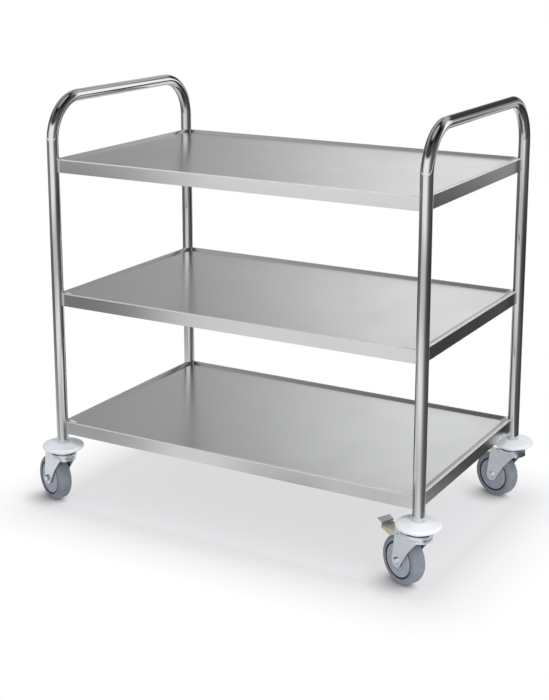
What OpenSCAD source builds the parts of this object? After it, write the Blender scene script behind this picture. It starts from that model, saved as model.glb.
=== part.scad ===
// Three-tier serving trolley: two bent tube ends, three pressed shelves, four swivel castors.
// The origin is on the floor under the middle. X runs along the length and the front is at -Y.

/* [Frame] */
// Distance between the tube centres along the length
leg_spacing_x = 850; // [600:10:1100]
// Distance between the tube centres across the depth
leg_spacing_y = 510; // [400:10:700]
// Outside diameter of the frame tube
tube_d = 25; // [22:0.5:30]
// Wall of the frame tube
tube_wall = 1.2; // [1:0.1:2]
// Bend radius of the handle at the tube's centre line
bend_r = 90; // [60:5:110]
// Height of the handle's top above the top shelf's rim
handle_rise = 138; // [120:2:250]

/* [Shelves] */
// Height of the bottom shelf's rim above the tube ends
bottom_shelf_rise = 48; // [46:1:120]
// Distance from one shelf's rim to the next
shelf_pitch = 290; // [180:5:330]
// Height of the flange turned down round each shelf
flange_h = 28; // [26:1:45]
// Thickness of the shelf sheet
sheet_t = 1; // [0.8:0.1:1.5]
// Width of the flat top of the raised rim
rim_w = 5; // [3:0.5:10]
// Width of the slope from the rim down to the deck
slope_w = 13; // [8:0.5:18]
// Depth of the deck below the rim
deck_drop = 5.5; // [4:0.5:8]
// Width of the hem turned in under the flange
hem_w = 8; // [4:1:12]

/* [Shelf fixings] */
// Thickness of the corner brackets
bracket_t = 2.5; // [2:0.25:4]
// Thread diameter of the shelf bolts
shelf_bolt_d = 6; // [5:1:8]
// Length of the shelf bolts under the head
shelf_bolt_len = 11; // [9:1:14]
// Thickness of the bolt washers
washer_t = 1.2; // [0.8:0.1:2]

/* [Wheels] */
// Diameter of the wheel over the tyre
wheel_d = 100; // [80:5:125]
// Width of the tyre
tyre_w = 32; // [24:1:34]
// Thickness of the tyre between its tread and the wheel centre
tyre_t = 12; // [8:0.5:13]
// Rounding of the tyre's shoulders
tyre_shoulder_r = 9; // [4:0.5:10]
// Width of the dark ring between tyre and thread guard
ring_w = 3.8; // [1.5:0.1:5]
// Thickness of the thread guards
guard_t = 3; // [2:0.5:4]
// Diameter of the axle bolt
axle_d = 8; // [6:1:10]
// Outside diameter of the axle sleeve
axle_sleeve_d = 12; // [11.5:0.5:16]

/* [Castors] */
// Distance from the stem's axis to the wheel's axle
trail = 40; // [30:1:46]
// Diameter of the fork's raceway ring
crown_d = 57; // [54:1:60]
// Thickness of the fork sheet
fork_t = 2.5; // [2:0.25:4]
// Outside radius of the bends between the fork's crown and its legs
fork_bend_r = 4; // [2:0.5:6]
// Gap between the tyre and the fork's crown
crown_gap = 13.5; // [12:0.5:20]
// Side gap between the tyre and each fork leg
leg_gap = 2; // [1.5:0.5:5]
// Radius of the fork leg's round end
leg_end_r = 13; // [10:0.5:14]
// Radius of the curved front edge of the fork's legs
leg_curve_r = 250; // [200:10:400]
// Slant of that edge at the round end, in degrees from upright
leg_slant = 28; // [24:1:32]
// Height of the fork's skirt below its crown, at the front
skirt_h = 7.5; // [4:0.5:9]
// Radius of the crown's front corners, seen from above
crown_corner_r = 16; // [10:1:18]
// Diameter of the bearing balls
ball_d = 3.6; // [3:0.2:5]
// Number of balls in the upper row
ball_count = 18; // [12:1:20]
// Diameter of the castor stem
stem_d = 10; // [8:0.5:12]
// Length of the stem inside the tube
stem_insert = 26; // [16:1:26]

/* [Bumpers] */
// Diameter of the bumper
bumper_d = 90; // [70:1:110]
// Thickness of the bumper between tube and castor
bumper_t = 19; // [16:1:26]
// Diameter of the bumper's flat underside
bumper_base_d = 60; // [54:1:66]
// Radius of the bumper's rounded edge
bumper_edge_r = 4.5; // [3:0.5:6]
// Height of the bumper's widest place, as a share of its thickness
bumper_widest = 0.53; // [0.45:0.01:0.6]
// Width of the bumper's flat top round the tube
bumper_top_w = 3; // [1:0.5:6]

/* [Brake] */
// Distance from the stem's axis to the brake's pivot
brake_pivot_x = 37; // [35:0.5:40]
// Height of the brake's pivot above the tyre's top
brake_pivot_rise = 4.5; // [4:0.5:6]
// Angle that the pedal tips through
brake_angle = 12; // [6:1:14]
// Distance from the stem's axis to the end of the lever
lever_end_x = 90; // [84:1:96]
// Length of the foot pad beyond the lever
pad_len = 14; // [10:1:20]
// Width of the foot pad
pad_w = 30; // [24:1:33]
// Height of the lever's top edge above its pivot
lever_rise = 8; // [6:0.5:9]
// Height of the foot pad's lip
lip_h = 8; // [7:0.5:12]
// Rise of the foot pad towards its tip
pad_rise = 5; // [2:0.5:8]
// Thickness of the brake's sheet parts
brake_t = 1.5; // [1:0.25:2]

/* [How the castors stand] */
// Direction in which the front left castor trails, in degrees from +X
front_left_turn = 157; // [0:1:360]
// Direction in which the front right castor trails
front_right_turn = 155; // [0:1:360]
// Direction in which the back left castor trails
back_left_turn = 158; // [0:1:360]
// Direction in which the back right castor trails
back_right_turn = 162; // [0:1:360]

/* [Hidden] */
$fn = 64;

// Clearances: round pieces that only sit in a hole, and faces that pass each other
seat_gap = 0.05;
running_gap = 0.06;
passing_gap = 0.5;
ball_play = 0.4;
// Cutting tools reach this far past the face that they cut
over = 1;

tube_r = tube_d / 2;
tube_bore_r = tube_r - tube_wall;

// The castor's stack, from the floor up
wheel_r = wheel_d / 2;
axle_z = wheel_r;
crown_z = wheel_d + crown_gap;
crown_t = 3;
crown_top = crown_z + crown_t;
upper_race_t = 3.5;
upper_race_z = crown_top + ball_d + ball_play;
bumper_z = upper_race_z + upper_race_t;
tube_end_z = bumper_z + bumper_t;

// Heights of the shelf rims
bottom_rim_z = tube_end_z + bottom_shelf_rise;
middle_rim_z = bottom_rim_z + shelf_pitch;
top_rim_z = middle_rim_z + shelf_pitch;
handle_z = top_rim_z + handle_rise - tube_r;

half_x = leg_spacing_x / 2;
half_y = leg_spacing_y / 2;

// Where each castor stands and which way it trails
front_left = [-half_x, -half_y, front_left_turn];
front_right = [half_x, -half_y, front_right_turn];
back_left = [-half_x, half_y, back_left_turn];
back_right = [half_x, half_y, back_right_turn];

STEEL = [0.80, 0.81, 0.82];
SHEET = [0.72, 0.73, 0.74];
ZINC = [0.82, 0.84, 0.86];
YELLOW_ZINC = [0.74, 0.70, 0.52];
WHITE_RUBBER = [0.92, 0.93, 0.94];
GREY_RUBBER = [0.50, 0.51, 0.54];
GREY_PLASTIC = [0.62, 0.64, 0.68];
DARK_PLASTIC = [0.20, 0.21, 0.25];

// The frame tubes

// A round tube's wall, standing up from z = 0
module tube_length(length) {
    difference() {
        cylinder(r = tube_r, h = length);
        translate([0, 0, -over]) cylinder(r = tube_bore_r, h = length + 2 * over);
    }
}

// A quarter bend in the YZ plane that starts straight up and turns towards -Y
module tube_bend() {
    translate([0, -bend_r, 0]) rotate([90, 0, 90])
        rotate_extrude(angle = 90) translate([bend_r, 0]) difference() {
            circle(r = tube_r);
            circle(r = tube_bore_r);
        }
}

// One leg with its bend, at y = half_y
module half_frame_tube() {
    leg_len = handle_z - bend_r - tube_end_z;
    translate([0, half_y, tube_end_z]) tube_length(leg_len);
    translate([0, half_y, handle_z - bend_r]) tube_bend();
}

// A whole end frame in the plane x = side * half_x. The rivet nuts' holes face inwards at 45 degrees.
module frame_tube(side) {
    bar_len = leg_spacing_y - 2 * bend_r;
    difference() {
        translate([side * half_x, 0, 0]) {
            half_frame_tube();
            mirror([0, 1, 0]) half_frame_tube();
            translate([0, bar_len / 2, handle_z]) rotate([90, 0, 0]) tube_length(bar_len);
        }
        for (rim_z = [bottom_rim_z, middle_rim_z, top_rim_z], end = [-1, 1])
            shelf_fixing_place(side, end, rim_z)
                cylinder(r = rivet_nut_r + seat_gap, h = tube_r + over);
    }
}

// The shelves

deck_z = -deck_drop;
flange_in = rim_w + slope_w;

// A block with four sloping sides, from the deck's outline at z_low to the rim's at z_high
module tray_block(z_low, z_high) {
    top_x = half_x - rim_w;
    top_y = half_y - rim_w;
    low_x = half_x - flange_in;
    low_y = half_y - flange_in;
    intersection() {
        rotate([90, 0, 0]) translate([0, 0, -half_y]) linear_extrude(leg_spacing_y)
            polygon([[-low_x, z_low], [low_x, z_low], [top_x, z_high], [-top_x, z_high]]);
        rotate([90, 0, 90]) translate([0, 0, -half_x]) linear_extrude(leg_spacing_x)
            polygon([[-low_y, z_low], [low_y, z_low], [top_y, z_high], [-top_y, z_high]]);
    }
}

// The rim's slope where it turns round a tube, as a cone about each tube
module corner_cones(z_low, z_high) {
    for (side = [-1, 1], end = [-1, 1])
        translate([side * half_x, end * half_y, z_low])
            cylinder(r1 = tube_r + flange_in, r2 = tube_r + rim_w, h = z_high - z_low);
}

// The tray's hollow, or the same shape let down by drop
module tray_hollow(drop) {
    difference() {
        tray_block(deck_z - drop, -drop);
        corner_cones(deck_z - drop, -drop);
    }
}

// The hollow under the deck, inside the flange, with the tray's underside left standing in it
module shelf_underside() {
    inner_x = leg_spacing_x - 2 * sheet_t;
    inner_y = leg_spacing_y - 2 * sheet_t;
    hem_x = inner_x - 2 * hem_w;
    hem_y = inner_y - 2 * hem_w;
    difference() {
        translate([-inner_x / 2, -inner_y / 2, -flange_h + sheet_t])
            cube([inner_x, inner_y, flange_h - 2 * sheet_t]);
        tray_hollow(sheet_t);
    }
    translate([-hem_x / 2, -hem_y / 2, -flange_h - over]) cube([hem_x, hem_y, 2 * over + sheet_t]);
}

// A thin plate that opens the tray's hollow upwards
module tray_lid() {
    lid_x = leg_spacing_x - 2 * rim_w;
    lid_y = leg_spacing_y - 2 * rim_w;
    difference() {
        translate([-lid_x / 2, -lid_y / 2, 0]) cube([lid_x, lid_y, over]);
        corner_posts(tube_r + rim_w);
    }
}

module corner_posts(post_r) {
    post_h = flange_h + 2 * over;
    for (side = [-1, 1], end = [-1, 1])
        translate([side * half_x, end * half_y, -flange_h - over]) cylinder(r = post_r, h = post_h);
}

module shelf(rim_z) {
    color(SHEET) translate([0, 0, rim_z]) difference() {
        translate([-half_x, -half_y, -flange_h]) cube([leg_spacing_x, leg_spacing_y, flange_h]);
        tray_hollow(0);
        tray_lid();
        shelf_underside();
        corner_posts(tube_r + seat_gap);
    }
}

// The shelf fixings: a bracket across each corner, bolted into a rivet nut in the tube

rivet_nut_r = shelf_bolt_d / 2 + 1.4;
rivet_nut_flange_r = rivet_nut_r + 1.6;
rivet_nut_flange_t = 0.8;
rivet_nut_len = 10;
bracket_x = tube_r + rivet_nut_flange_t + seat_gap;
bolt_head_r = shelf_bolt_d * 0.96;
bolt_head_h = shelf_bolt_d * 0.66;
bracket_top = -deck_drop - sheet_t;
bracket_low = -flange_h + sheet_t;
bolt_drop = bracket_top - bolt_head_r - 1.5;

// Local +Z points from the tube's axis inwards, along the corner's diagonal
module shelf_fixing_place(side, end, rim_z) {
    inward = atan2(-end, -side);
    translate([side * half_x, end * half_y, rim_z + bolt_drop]) rotate([0, 90, inward]) children();
}

module each_shelf_fixing() {
    for (rim_z = [bottom_rim_z, middle_rim_z, top_rim_z], side = [-1, 1], end = [-1, 1])
        shelf_fixing_place(side, end, rim_z) children();
}

module shelf_corner_brackets() {
    plate_h = bracket_top - bracket_low;
    color(SHEET) for (rim_z = [bottom_rim_z, middle_rim_z, top_rim_z], side = [-1, 1], end = [-1, 1])
        intersection() {
            shelf_fixing_place(side, end, rim_z) difference() {
                translate([-plate_h / 2, -tube_d, bracket_x]) cube([plate_h, 2 * tube_d, bracket_t]);
                cylinder(r = shelf_bolt_d / 2 + 0.3, h = 2 * tube_d);
            }
            translate([-half_x + sheet_t, -half_y + sheet_t, rim_z - flange_h])
                cube([leg_spacing_x - 2 * sheet_t, leg_spacing_y - 2 * sheet_t, flange_h]);
        }
}

module shelf_bolt_washers() {
    color(ZINC) each_shelf_fixing()
        translate([0, 0, bracket_x + bracket_t]) difference() {
            cylinder(r = bolt_head_r + 0.6, h = washer_t);
            translate([0, 0, -over]) cylinder(r = shelf_bolt_d / 2 + 0.2, h = washer_t + 2 * over);
        }
}

module shelf_bolts() {
    head_x = bracket_x + bracket_t + washer_t;
    color(ZINC) each_shelf_fixing() {
        translate([0, 0, head_x]) cylinder(r = bolt_head_r, h = bolt_head_h, $fn = 6);
        translate([0, 0, head_x - shelf_bolt_len]) cylinder(r = shelf_bolt_d / 2, h = shelf_bolt_len);
    }
}

module rivet_nuts() {
    color(ZINC) each_shelf_fixing() difference() {
        union() {
            translate([0, 0, tube_r - rivet_nut_len]) cylinder(r = rivet_nut_r, h = rivet_nut_len);
            translate([0, 0, tube_r]) cylinder(r = rivet_nut_flange_r, h = rivet_nut_flange_t);
        }
        translate([0, 0, tube_r - rivet_nut_len - over])
            cylinder(r = shelf_bolt_d / 2 + seat_gap, h = rivet_nut_len + 2 * over + rivet_nut_flange_t);
    }
}

// The castors. Local +X is the way the castor trails and local Y is its axle.

module castor_place(spot) {
    translate([spot[0], spot[1], 0]) rotate([0, 0, spot[2]]) children();
}

module each_castor() {
    for (spot = [front_left, front_right, back_left, back_right]) castor_place(spot) children();
}

// A turned piece about the axle, from a profile whose X is the radius and whose Y is the width
module on_axle() {
    translate([trail, 0, axle_z]) rotate([90, 0, 0]) rotate_extrude() children();
}

// A straight round rod along the axle's direction through a point, from y_low to y_high
module cross_rod(rod_r, x, z, y_low, y_high) {
    translate([x, y_high, z]) rotate([90, 0, 0]) cylinder(r = rod_r, h = y_high - y_low);
}

leg_in = tyre_w / 2 + leg_gap;
leg_out = leg_in + fork_t;
crown_r = crown_d / 2;
stem_r = stem_d / 2;

module bumper(spot) {
    base_r = bumper_base_d / 2;
    edge_x = bumper_d / 2 - bumper_edge_r;
    edge_z = bumper_t * bumper_widest;
    top_r = tube_r + bumper_top_w;
    low_tangent = 60;
    high_tangent = 75;
    color(WHITE_RUBBER) castor_place(spot) translate([0, 0, bumper_z]) difference() {
        rotate_extrude() union() {
            translate([edge_x, edge_z]) circle(r = bumper_edge_r);
            polygon([
                [0, 0], [base_r, 0],
                [edge_x + bumper_edge_r * cos(low_tangent), edge_z - bumper_edge_r * sin(low_tangent)],
                [edge_x, edge_z],
                [edge_x + bumper_edge_r * cos(high_tangent), edge_z + bumper_edge_r * sin(high_tangent)],
                [top_r, bumper_t], [0, bumper_t]
            ]);
        }
        translate([0, 0, -over]) cylinder(r = stem_r + seat_gap, h = bumper_t + 2 * over);
    }
}

module stem_expanders() {
    stem_tip = 3;
    sleeve_h = stem_insert - stem_tip;
    color(DARK_PLASTIC) each_castor() translate([0, 0, tube_end_z]) difference() {
        cylinder(r = tube_bore_r - seat_gap, h = sleeve_h);
        translate([0, 0, -over]) cylinder(r = stem_r + seat_gap, h = sleeve_h + 2 * over);
    }
}

// The lower raceway hangs on the king pin's head, a ball row below the crown
lower_ball_d = ball_d * 0.85;
lower_race_t = 2;
lower_race_z = crown_z - lower_ball_d - ball_play - lower_race_t;
king_head_h = 3;
king_head_r = stem_r + 4;

// The upper raceway's skirt hangs round the upper ball row
race_r = crown_r - 4.5;
skirt_w = 1.5;
race_ball_x = race_r - skirt_w - ball_play - ball_d / 2;
lower_ball_x = race_ball_x - 7.5;

module castor_stems() {
    color(ZINC) each_castor() {
        translate([0, 0, lower_race_z - king_head_h]) cylinder(r = king_head_r, h = king_head_h);
        translate([0, 0, lower_race_z]) cylinder(r = stem_r, h = tube_end_z + stem_insert - lower_race_z);
    }
}

module upper_raceways() {
    color(ZINC) each_castor() translate([0, 0, upper_race_z]) difference() {
        union() {
            cylinder(r = race_r, h = upper_race_t);
            translate([0, 0, -skirt_w]) difference() {
                cylinder(r = race_r, h = skirt_w);
                translate([0, 0, -over]) cylinder(r = race_r - skirt_w, h = skirt_w + over);
            }
        }
        translate([0, 0, -over]) cylinder(r = stem_r + seat_gap, h = upper_race_t + 2 * over);
    }
}

module lower_raceways() {
    color(ZINC) each_castor() translate([0, 0, lower_race_z]) difference() {
        cylinder(r = lower_ball_x + lower_ball_d, h = lower_race_t);
        translate([0, 0, -over]) cylinder(r = stem_r + seat_gap, h = lower_race_t + 2 * over);
    }
}

module bearing_balls(spot) {
    lower_count = ball_count - 4;
    color(STEEL) castor_place(spot) {
        for (turn = [0 : 360 / ball_count : 359]) rotate([0, 0, turn])
            translate([race_ball_x, 0, crown_top + ball_d / 2]) sphere(r = ball_d / 2, $fn = 24);
        for (turn = [0 : 360 / lower_count : 359]) rotate([0, 0, turn])
            translate([lower_ball_x, 0, crown_z - lower_ball_d / 2]) sphere(r = lower_ball_d / 2, $fn = 24);
    }
}

// The outline of a fork leg: a back that leans in, a round end at the axle and a curved front
module fork_leg_outline() {
    back_x = trail + leg_end_r;
    shoulder_h = 12;
    shoulder_w = 7;
    curve_far = leg_curve_r + leg_end_r;
    difference() {
        polygon([
            [-crown_r, axle_z], [back_x, axle_z], [back_x - shoulder_w, crown_z - shoulder_h],
            [back_x - shoulder_w, crown_top], [-crown_r, crown_top]
        ]);
        translate([trail - curve_far * cos(leg_slant), axle_z - curve_far * sin(leg_slant)])
            circle(r = leg_curve_r, $fn = 256);
    }
    translate([trail, axle_z]) circle(r = leg_end_r);
}

// The fork seen from above, let in by an inset all round: round corners before, straight sides behind
module fork_plan(inset) {
    corner_x = crown_corner_r - crown_r;
    corner_y = leg_out - crown_corner_r;
    translate([corner_x, inset - leg_out]) square([trail + leg_end_r - corner_x, 2 * (leg_out - inset)]);
    translate([inset - crown_r, -corner_y]) square([crown_corner_r, 2 * corner_y]);
    for (y = [-corner_y, corner_y]) translate([corner_x, y]) circle(r = crown_corner_r - inset);
}

// The edge that is folded down round the crown's front, from one leg to the other
module fork_skirt() {
    translate([0, 0, crown_z - skirt_h]) linear_extrude(skirt_h + over) difference() {
        fork_plan(0);
        fork_plan(fork_t);
        translate([crown_corner_r - crown_r + over, -2 * leg_out]) square([2 * trail + crown_d, 4 * leg_out]);
    }
}

// The fork seen along the castor: square below, with the crown bent over into the legs
module fork_section() {
    bend_y = leg_out - fork_bend_r;
    bend_z = crown_top - fork_bend_r;
    translate([-leg_out, 0]) square([2 * leg_out, bend_z]);
    translate([-bend_y, 0]) square([2 * bend_y, crown_top]);
    for (y = [-bend_y, bend_y]) translate([y, bend_z]) circle(r = fork_bend_r);
}

module fork(spot, braked) {
    lip_w = 2.5;
    lip_rise = ball_d * 0.8;
    color(ZINC) castor_place(spot) difference() {
        union() {
            intersection() {
                rotate([90, 0, 90]) translate([0, 0, -crown_r]) linear_extrude(crown_r + trail + leg_end_r)
                    fork_section();
                linear_extrude(crown_top) fork_plan(0);
                union() {
                    translate([-crown_r, -leg_out, crown_z]) cube([crown_d, 2 * leg_out, crown_t]);
                    for (y = [leg_out, -leg_in])
                        translate([0, y, 0]) rotate([90, 0, 0]) linear_extrude(fork_t)
                            fork_leg_outline();
                    fork_skirt();
                }
            }
            translate([0, 0, crown_z]) cylinder(r = crown_r, h = crown_t);
            translate([0, 0, crown_top]) difference() {
                cylinder(r = crown_r, h = lip_rise);
                translate([0, 0, -over]) cylinder(r = crown_r - lip_w, h = lip_rise + 2 * over);
            }
        }
        translate([0, 0, crown_z - over]) cylinder(r = stem_r + running_gap, h = crown_t + 2 * over);
        cross_rod(axle_d / 2 + seat_gap, trail, axle_z, -leg_out - over, leg_out + over);
        if (braked) cross_rod(pin_r + seat_gap, brake_pivot_x, pin_z, -leg_out - over, leg_out + over);
    }
}

module axle_sleeve(spot) {
    color(STEEL) castor_place(spot) on_axle()
        translate([axle_d / 2 + seat_gap, -leg_in])
            square([(axle_sleeve_d - axle_d) / 2 - seat_gap, 2 * leg_in]);
}

// Hexagon sizes of the axle bolt and nut, as shares of the thread
axle_hex_r = axle_d * 0.93;
axle_head_h = axle_d * 0.6;
axle_nut_h = axle_d * 0.95;

module axle_bolt(spot) {
    tail = 2;
    color(ZINC) castor_place(spot) {
        cross_rod(axle_d / 2, trail, axle_z, -leg_out - axle_nut_h - tail, leg_out);
        translate([trail, leg_out + axle_head_h, axle_z]) rotate([90, 0, 0])
            cylinder(r = axle_hex_r, h = axle_head_h, $fn = 6);
    }
}

module axle_nut(spot) {
    color(ZINC) castor_place(spot) difference() {
        translate([trail, -leg_out, axle_z]) rotate([90, 0, 0])
            cylinder(r = axle_hex_r, h = axle_nut_h, $fn = 6);
        cross_rod(axle_d / 2 + seat_gap, trail, axle_z, -leg_out - axle_nut_h - over, -leg_out + over);
    }
}

// Radii and half widths of the wheel's pieces
core_r = wheel_r - tyre_t;
guard_r = core_r - ring_w;
guard_out = tyre_w / 2 - 0.5;
guard_in = guard_out - guard_t;
boss_r = axle_sleeve_d / 2 + 6;
boss_out = leg_in - 1;
ledge_w = 3;
web_half = 3;

module wheel_centre(spot) {
    ring_out = guard_out - 1.2;
    bore_r = axle_sleeve_d / 2 + running_gap;
    color(DARK_PLASTIC) castor_place(spot) on_axle() union() {
        translate([guard_r, -ring_out]) square([ring_w, 2 * ring_out]);
        translate([guard_r - ledge_w, -guard_in]) square([ledge_w + over, 2 * guard_in]);
        translate([boss_r - over, -web_half]) square([guard_r - boss_r, 2 * web_half]);
        translate([bore_r, -boss_out]) square([boss_r - bore_r, 2 * boss_out]);
    }
}

module tyre(spot) {
    half_w = tyre_w / 2;
    shoulder_x = wheel_r - tyre_shoulder_r;
    shoulder_y = half_w - tyre_shoulder_r;
    color(GREY_RUBBER) castor_place(spot) on_axle() intersection() {
        union() {
            translate([core_r, -half_w]) square([shoulder_x - core_r, tyre_w]);
            translate([core_r, -shoulder_y]) square([tyre_t, 2 * shoulder_y]);
            for (y = [-shoulder_y, shoulder_y]) translate([shoulder_x, y]) circle(r = tyre_shoulder_r);
        }
        translate([core_r, -half_w]) square([tyre_t + over, tyre_w]);
    }
}

module thread_guards(spot) {
    rim_cut = 1;
    guard_bore_r = boss_r + 0.3;
    edge_r = guard_r - 0.1;
    color(GREY_PLASTIC) castor_place(spot) for (side = [0, 1]) mirror([0, side, 0]) on_axle()
        polygon([
            [guard_bore_r, guard_in], [edge_r, guard_in], [edge_r, guard_out - rim_cut],
            [edge_r - rim_cut, guard_out], [guard_bore_r, guard_out]
        ]);
}

// The brake: a channel that tips on a pin through the fork's legs, with its pad and shoe

pin_r = 2.5;
pin_z = wheel_d + brake_pivot_rise;
lever_out = leg_in - passing_gap;
lever_in = lever_out - brake_t;
lever_nose = 2;
lever_back_x = brake_pivot_x - pin_r - 3;
lever_edge_x = lever_back_x + lever_nose;
lever_top = pin_z + lever_rise;
lever_end_top = pin_z - 0.5;

// The lever's side outline, seen along the axle: X along the castor and Y up
module lever_side_outline() {
    polygon([
        [lever_back_x, pin_z - 4], [lever_back_x, lever_top - lever_nose], [lever_edge_x, lever_top],
        [lever_end_x, lever_end_top], [lever_end_x, lever_end_top - 3],
        [trail + 23, pin_z - 11], [trail + 12, pin_z - 6]
    ]);
}

// The band along the lever's top edge that is the channel's web
module lever_web_outline() {
    polygon([
        [lever_edge_x, lever_top], [lever_end_x, lever_end_top],
        [lever_end_x, lever_end_top - brake_t], [lever_edge_x, lever_top - brake_t]
    ]);
}

module brake_pivot_pin(spot) {
    head_t = 1.5;
    head_r = pin_r + 1.5;
    color(ZINC) castor_place(spot) {
        cross_rod(pin_r, brake_pivot_x, pin_z, -leg_out - head_t, leg_out + head_t);
        cross_rod(head_r, brake_pivot_x, pin_z, leg_out, leg_out + head_t);
        cross_rod(head_r, brake_pivot_x, pin_z, -leg_out - head_t, -leg_out);
    }
}

module brake_lever(spot) {
    color(YELLOW_ZINC) castor_place(spot) difference() {
        union() {
            for (y = [lever_out, -lever_in])
                translate([0, y, 0]) rotate([90, 0, 0]) linear_extrude(brake_t) lever_side_outline();
            translate([0, lever_out, 0]) rotate([90, 0, 0]) linear_extrude(2 * lever_out)
                lever_web_outline();
        }
        cross_rod(pin_r + running_gap, brake_pivot_x, pin_z, -leg_out, leg_out);
    }
}

// The foot pad: a lip that stands across the lever's end, and a plate that rises from it
module brake_foot_pad(spot) {
    lip_z = lever_end_top - 1;
    lip_low = lip_z - 2;
    pad_z = lip_z + lip_h - brake_t;
    rivet_r = 2.2;
    rivet_y = 5 - pad_w / 2;
    color(ZINC) castor_place(spot) {
        translate([lever_end_x, pad_w / 2, 0]) rotate([90, 0, 0]) linear_extrude(pad_w)
            polygon([
                [0, lip_low], [brake_t, lip_low], [brake_t, pad_z],
                [pad_len, pad_z + pad_rise], [pad_len, pad_z + pad_rise + brake_t],
                [0, pad_z + brake_t]
            ]);
        translate([lever_end_x - 1, rivet_y, lip_z + lip_h / 2]) rotate([0, 90, 0])
            cylinder(r = rivet_r, h = brake_t + 2);
    }
}

// The shoe is an arc about the axle when the brake is on. At rest it is turned back up about the pin.
module brake_shoe(spot) {
    shoe_gap = 0.6;
    shoe_t = 2;
    shoe_w = tyre_w - 6;
    shoe_in = wheel_r + shoe_gap;
    shoe_from = 52;
    shoe_to = 78;
    shoe_mid = (shoe_from + shoe_to) / 2;
    post_r = 4;
    post_h = 4;
    post_x = trail + cos(shoe_mid) * shoe_in;
    web_slope = (lever_top - lever_end_top) / (lever_end_x - lever_edge_x);
    web_low = lever_top - brake_t - web_slope * (post_x + post_r - lever_edge_x);
    color(YELLOW_ZINC) castor_place(spot) {
        brake_turn(brake_angle) translate([trail, shoe_w / 2, axle_z]) rotate([90, 0, 0])
            rotate([0, 0, shoe_from]) rotate_extrude(angle = shoe_to - shoe_from)
                translate([shoe_in, 0]) square([shoe_t, shoe_w]);
        translate([post_x, 0, web_low - post_h]) cylinder(r = post_r, h = post_h);
    }
}

// Turns a piece up about the brake's pivot
module brake_turn(angle) {
    translate([brake_pivot_x, 0, pin_z]) rotate([0, -angle, 0])
        translate([-brake_pivot_x, 0, -pin_z]) children();
}

color(STEEL) frame_tube(-1);  // left_frame_tube
color(STEEL) frame_tube(1);  // right_frame_tube
shelf(top_rim_z);  // top_shelf
shelf(middle_rim_z);  // middle_shelf
shelf(bottom_rim_z);  // bottom_shelf
shelf_corner_brackets();
shelf_bolts();
shelf_bolt_washers();
rivet_nuts();
bumper(front_left);  // front_left_bumper
bumper(front_right);  // front_right_bumper
bumper(back_left);  // back_left_bumper
bumper(back_right);  // back_right_bumper
stem_expanders();
castor_stems();
upper_raceways();
lower_raceways();
fork(front_left, false);  // front_left_fork
bearing_balls(front_left);  // front_left_bearing_balls
axle_sleeve(front_left);  // front_left_axle_sleeve
axle_bolt(front_left);  // front_left_axle_bolt
axle_nut(front_left);  // front_left_axle_nut
wheel_centre(front_left);  // front_left_wheel_centre
tyre(front_left);  // front_left_tyre
thread_guards(front_left);  // front_left_thread_guards
fork(front_right, true);  // front_right_fork
bearing_balls(front_right);  // front_right_bearing_balls
axle_sleeve(front_right);  // front_right_axle_sleeve
axle_bolt(front_right);  // front_right_axle_bolt
axle_nut(front_right);  // front_right_axle_nut
wheel_centre(front_right);  // front_right_wheel_centre
tyre(front_right);  // front_right_tyre
thread_guards(front_right);  // front_right_thread_guards
fork(back_left, true);  // back_left_fork
bearing_balls(back_left);  // back_left_bearing_balls
axle_sleeve(back_left);  // back_left_axle_sleeve
axle_bolt(back_left);  // back_left_axle_bolt
axle_nut(back_left);  // back_left_axle_nut
wheel_centre(back_left);  // back_left_wheel_centre
tyre(back_left);  // back_left_tyre
thread_guards(back_left);  // back_left_thread_guards
fork(back_right, false);  // back_right_fork
bearing_balls(back_right);  // back_right_bearing_balls
axle_sleeve(back_right);  // back_right_axle_sleeve
axle_bolt(back_right);  // back_right_axle_bolt
axle_nut(back_right);  // back_right_axle_nut
wheel_centre(back_right);  // back_right_wheel_centre
tyre(back_right);  // back_right_tyre
thread_guards(back_right);  // back_right_thread_guards
brake_pivot_pin(front_right);  // front_right_brake_pivot_pin
brake_lever(front_right);  // front_right_brake_lever
brake_foot_pad(front_right);  // front_right_brake_foot_pad
brake_shoe(front_right);  // front_right_brake_shoe
brake_pivot_pin(back_left);  // back_left_brake_pivot_pin
brake_lever(back_left);  // back_left_brake_lever
brake_foot_pad(back_left);  // back_left_brake_foot_pad
brake_shoe(back_left);  // back_left_brake_shoe
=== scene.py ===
import math

import bmesh
import bpy
from mathutils import Matrix, Vector


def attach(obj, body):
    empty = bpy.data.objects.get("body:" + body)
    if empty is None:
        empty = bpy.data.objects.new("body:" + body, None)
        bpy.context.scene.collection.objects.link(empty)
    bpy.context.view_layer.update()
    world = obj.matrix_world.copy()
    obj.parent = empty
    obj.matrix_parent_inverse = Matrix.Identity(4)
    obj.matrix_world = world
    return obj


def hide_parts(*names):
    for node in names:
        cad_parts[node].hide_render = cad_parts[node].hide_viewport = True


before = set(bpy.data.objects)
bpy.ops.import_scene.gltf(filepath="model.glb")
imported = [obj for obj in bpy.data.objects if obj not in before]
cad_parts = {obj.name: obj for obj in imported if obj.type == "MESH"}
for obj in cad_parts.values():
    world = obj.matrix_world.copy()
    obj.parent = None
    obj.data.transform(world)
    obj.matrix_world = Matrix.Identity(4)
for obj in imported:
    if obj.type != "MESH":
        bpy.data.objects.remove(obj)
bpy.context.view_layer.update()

# Camera
# A 73 mm lens on a 36 mm sensor, above and before the front right corner. It is shifted down a little,
# which keeps the uprights near plumb, as in a catalogue photograph.
camera_down = math.radians(12.895)
camera_turn = math.radians(29.639)
camera_data = bpy.data.cameras.new("camera")
camera_data.lens = 72.79
camera_data.sensor_width = 36
camera_data.shift_y = -0.15
camera = bpy.data.objects.new("camera", camera_data)
bpy.context.collection.objects.link(camera)
camera.location = (1.4292, -2.5753, 1.2574)
camera.rotation_euler = (math.pi / 2 - camera_down, 0, camera_turn)
bpy.context.scene.camera = camera
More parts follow.
